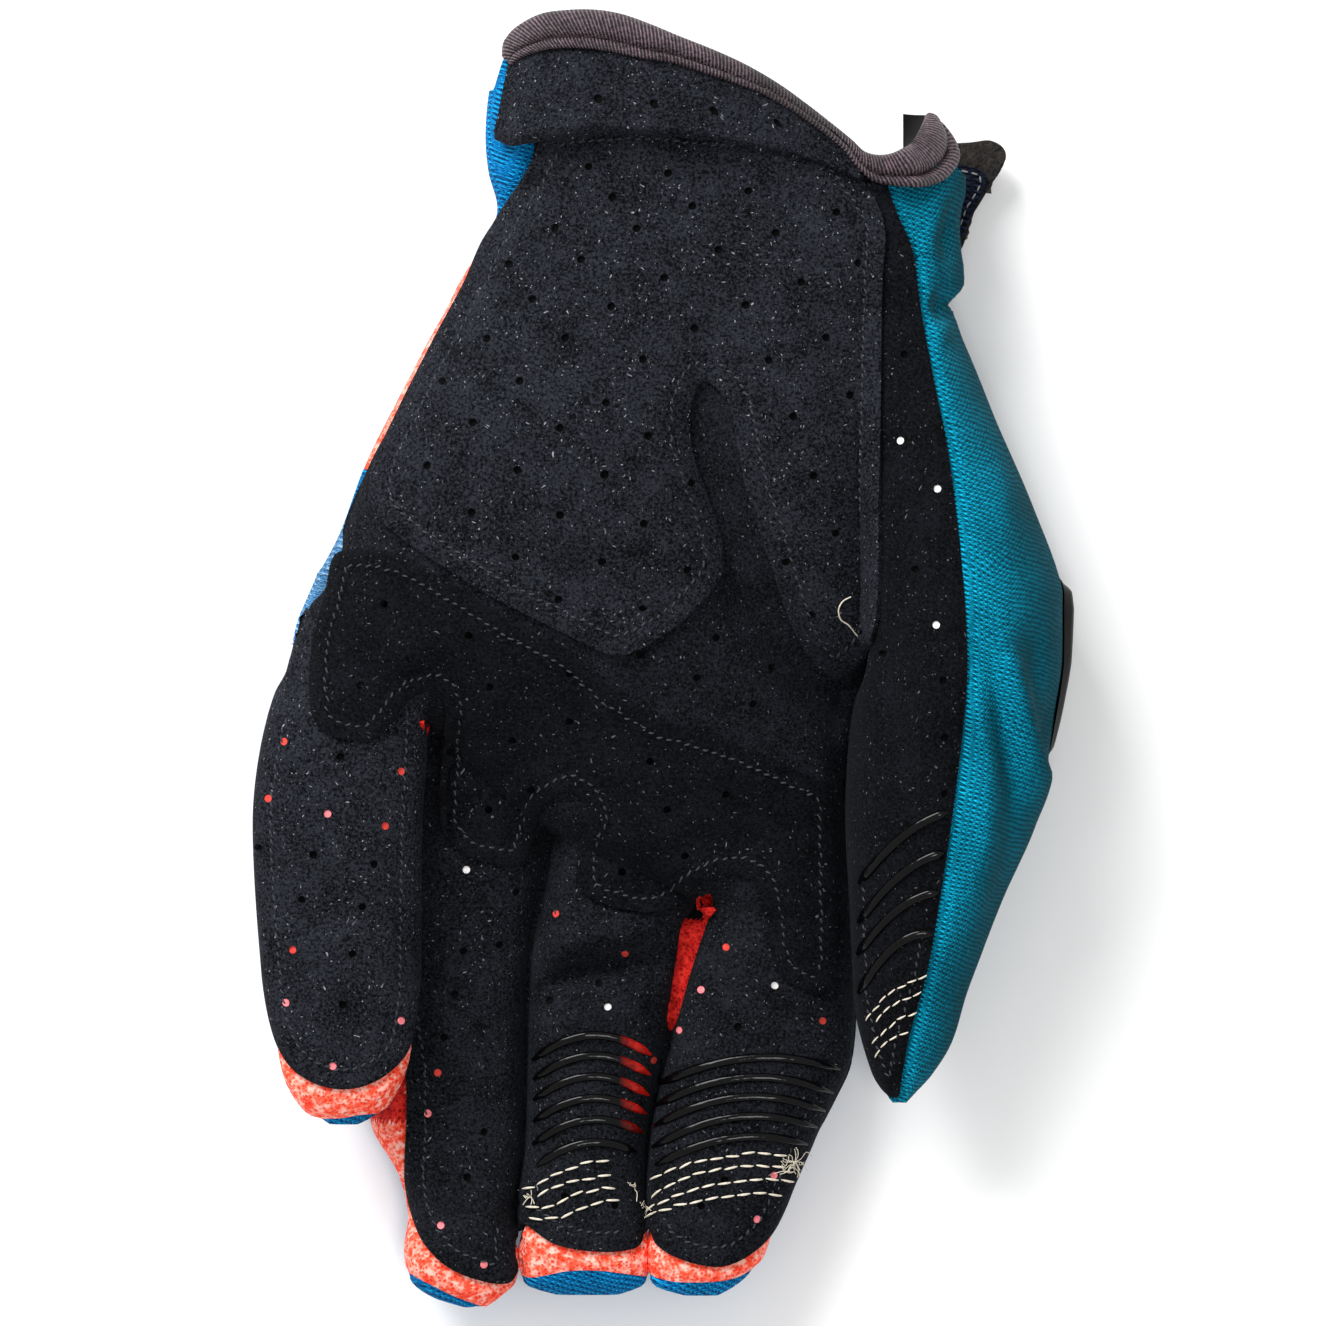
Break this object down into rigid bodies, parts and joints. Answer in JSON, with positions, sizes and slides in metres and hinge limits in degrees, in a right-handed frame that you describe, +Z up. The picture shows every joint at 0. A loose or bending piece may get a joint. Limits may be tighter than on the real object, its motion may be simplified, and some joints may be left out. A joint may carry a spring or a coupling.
{
  "type": "mountain bike glove",
  "caption": "Full-finger riding glove for the left hand, palm up: suede palm patches, knit back and side panels, bound cuff with a strap, silicone finger grips.",
  "frame": {"origin": "centre of the bounding box's base, on the surface that the glove lies on", "axes": "+Y along the glove from the fingertips to the cuff, +X across it to the thumb, +Z up out of the palm"},
  "size_m": [0.1406, 0.2217, 0.039],
  "materials": {
    "suede": "matt synthetic suede, nearly black",
    "knit_teal": "fine matt stretch knit",
    "knit_blue": "fine matt stretch knit",
    "mesh_red": "open matt knit",
    "binding": "woven elastic",
    "hook_loop": "brushed loop cloth",
    "rubber": "moulded, matt",
    "silicone": "smooth, glossy"
  },
  "bodies": {
    "root": {"palm_panel": "suede", "heel_patch": "suede", "knuckle_patch": "suede", "thumb_panel": "suede", "thumb_back": "knit_teal", "back_panel": "knit_blue", "little_gusset": "mesh_red", "ring_gusset": "mesh_red", "middle_gusset": "mesh_red", "index_gusset": "mesh_red", "cuff_binding": "binding", "closure_strap": "hook_loop", "rubber_badge": "rubber", "middle_grip_1": "silicone", "middle_grip_2": "silicone", "middle_grip_3": "silicone", "middle_grip_4": "silicone", "middle_grip_5": "silicone", "middle_grip_6": "silicone", "index_grip_1": "silicone", "index_grip_2": "silicone", "index_grip_3": "silicone", "index_grip_4": "silicone", "index_grip_5": "silicone", "thumb_grip_1": "silicone", "thumb_grip_2": "silicone", "thumb_grip_3": "silicone", "thumb_grip_4": "silicone"}
  },
  "joints": []
}
